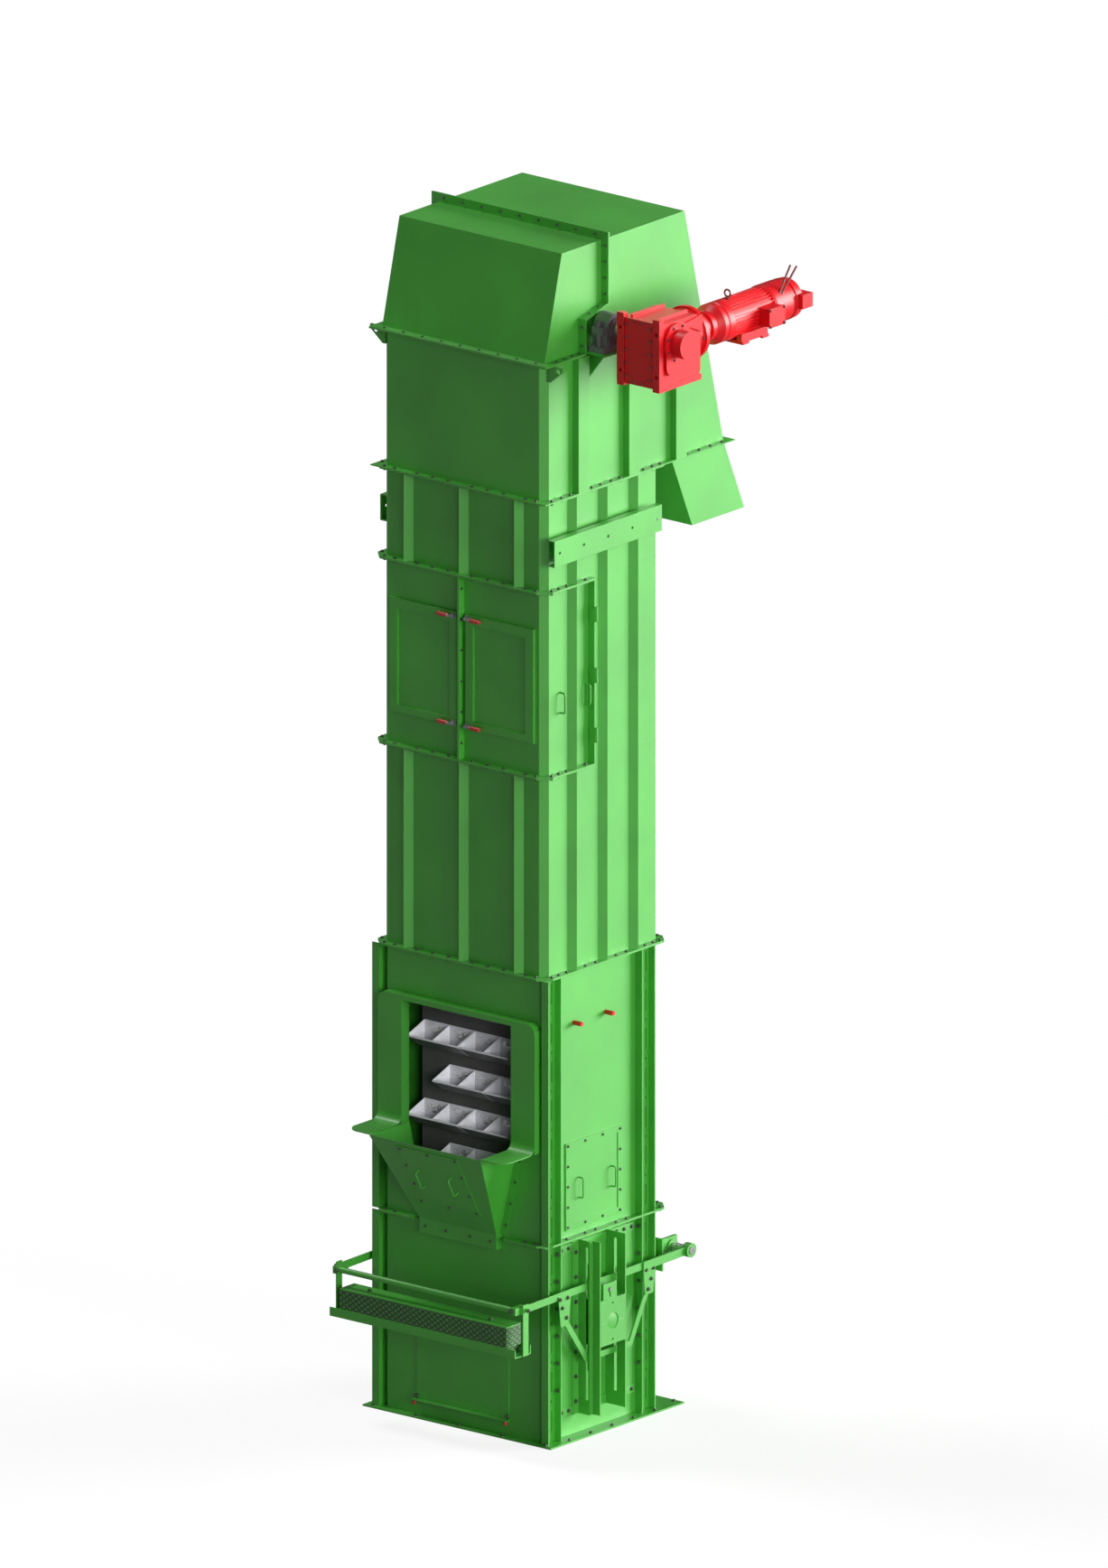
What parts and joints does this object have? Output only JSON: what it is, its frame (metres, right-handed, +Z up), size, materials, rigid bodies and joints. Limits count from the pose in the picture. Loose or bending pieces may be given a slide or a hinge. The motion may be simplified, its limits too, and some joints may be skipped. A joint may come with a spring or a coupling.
{
  "type": "bucket elevator",
  "caption": "Belt bucket elevator with hopper inlet, ribbed sheet casing, weighted lever take-up, bearings, head hood, discharge spout and shaft-mounted drive.",
  "frame": {"origin": "middle of the base plate's underside in plan of the shaft casing", "axes": "+Z up, -Y towards the feed face, +X towards the drive side along the pulley shafts"},
  "size_m": [2.65, 2.71, 8.902],
  "materials": {
    "green_paint": "satin",
    "red_paint": "satin",
    "bearing_grey": "matte",
    "bare_steel": "satin",
    "belt_rubber": "matte"
  },
  "bodies": {
    "plant": {"base_plate": "green_paint", "bearing_brackets": "green_paint", "belt": "belt_rubber", "boot_casing": "green_paint", "boot_corner_channels": "green_paint", "bracket_channels": "green_paint", "bucket_row_a": "bare_steel", "bucket_row_b": "bare_steel", "cleanout_clamp": "green_paint", "cleanout_cover": "green_paint", "coupling_lantern": "red_paint", "discharge_spout": "green_paint", "door_clamps": "bare_steel", "door_half_left": "green_paint", "door_half_right": "green_paint", "door_handles": "green_paint", "door_hinges": "green_paint", "door_section_rear": "green_paint", "drive_motor": "red_paint", "front_hood": "green_paint", "gearbox": "red_paint", "head_bearings": "bearing_grey", "head_casing": "green_paint", "head_pulley": "bare_steel", "head_shaft": "bare_steel", "hopper_cover": "green_paint", "inlet_casing": "green_paint", "inlet_corner_channels": "green_paint", "inlet_frame": "green_paint", "inlet_hopper": "green_paint", "inspection_door_left": "green_paint", "inspection_door_right": "green_paint", "level_sensors": "red_paint", "lifting_lugs": "green_paint", "lower_shaft_casing": "green_paint", "panel_handles": "green_paint", "shaft_panels": "green_paint", "shaft_seals": "green_paint", "side_access_panel": "green_paint", "tail_bearing_blocks": "green_paint", "tail_pulley": "bare_steel", "tail_shaft": "bare_steel", "takeup_guides": "green_paint", "takeup_pivot_brackets": "green_paint", "upper_shaft_casing": "green_paint"},
    "takeup_lever": {"takeup_arms": "green_paint", "takeup_pivot_shaft": "bare_steel", "takeup_cross_tube": "green_paint", "weight_hangers": "green_paint", "weight_tray": "green_paint", "weights": "bare_steel", "weight_cover": "green_paint"}
  },
  "joints": [
    {"name": "takeup_lever_pivot", "type": "hinge", "parent": "plant", "child": "takeup_lever", "pos_m": [0, 0.83, 1.134], "axis": [-1, 0, 0], "range_deg": [0, 3]}
  ]
}
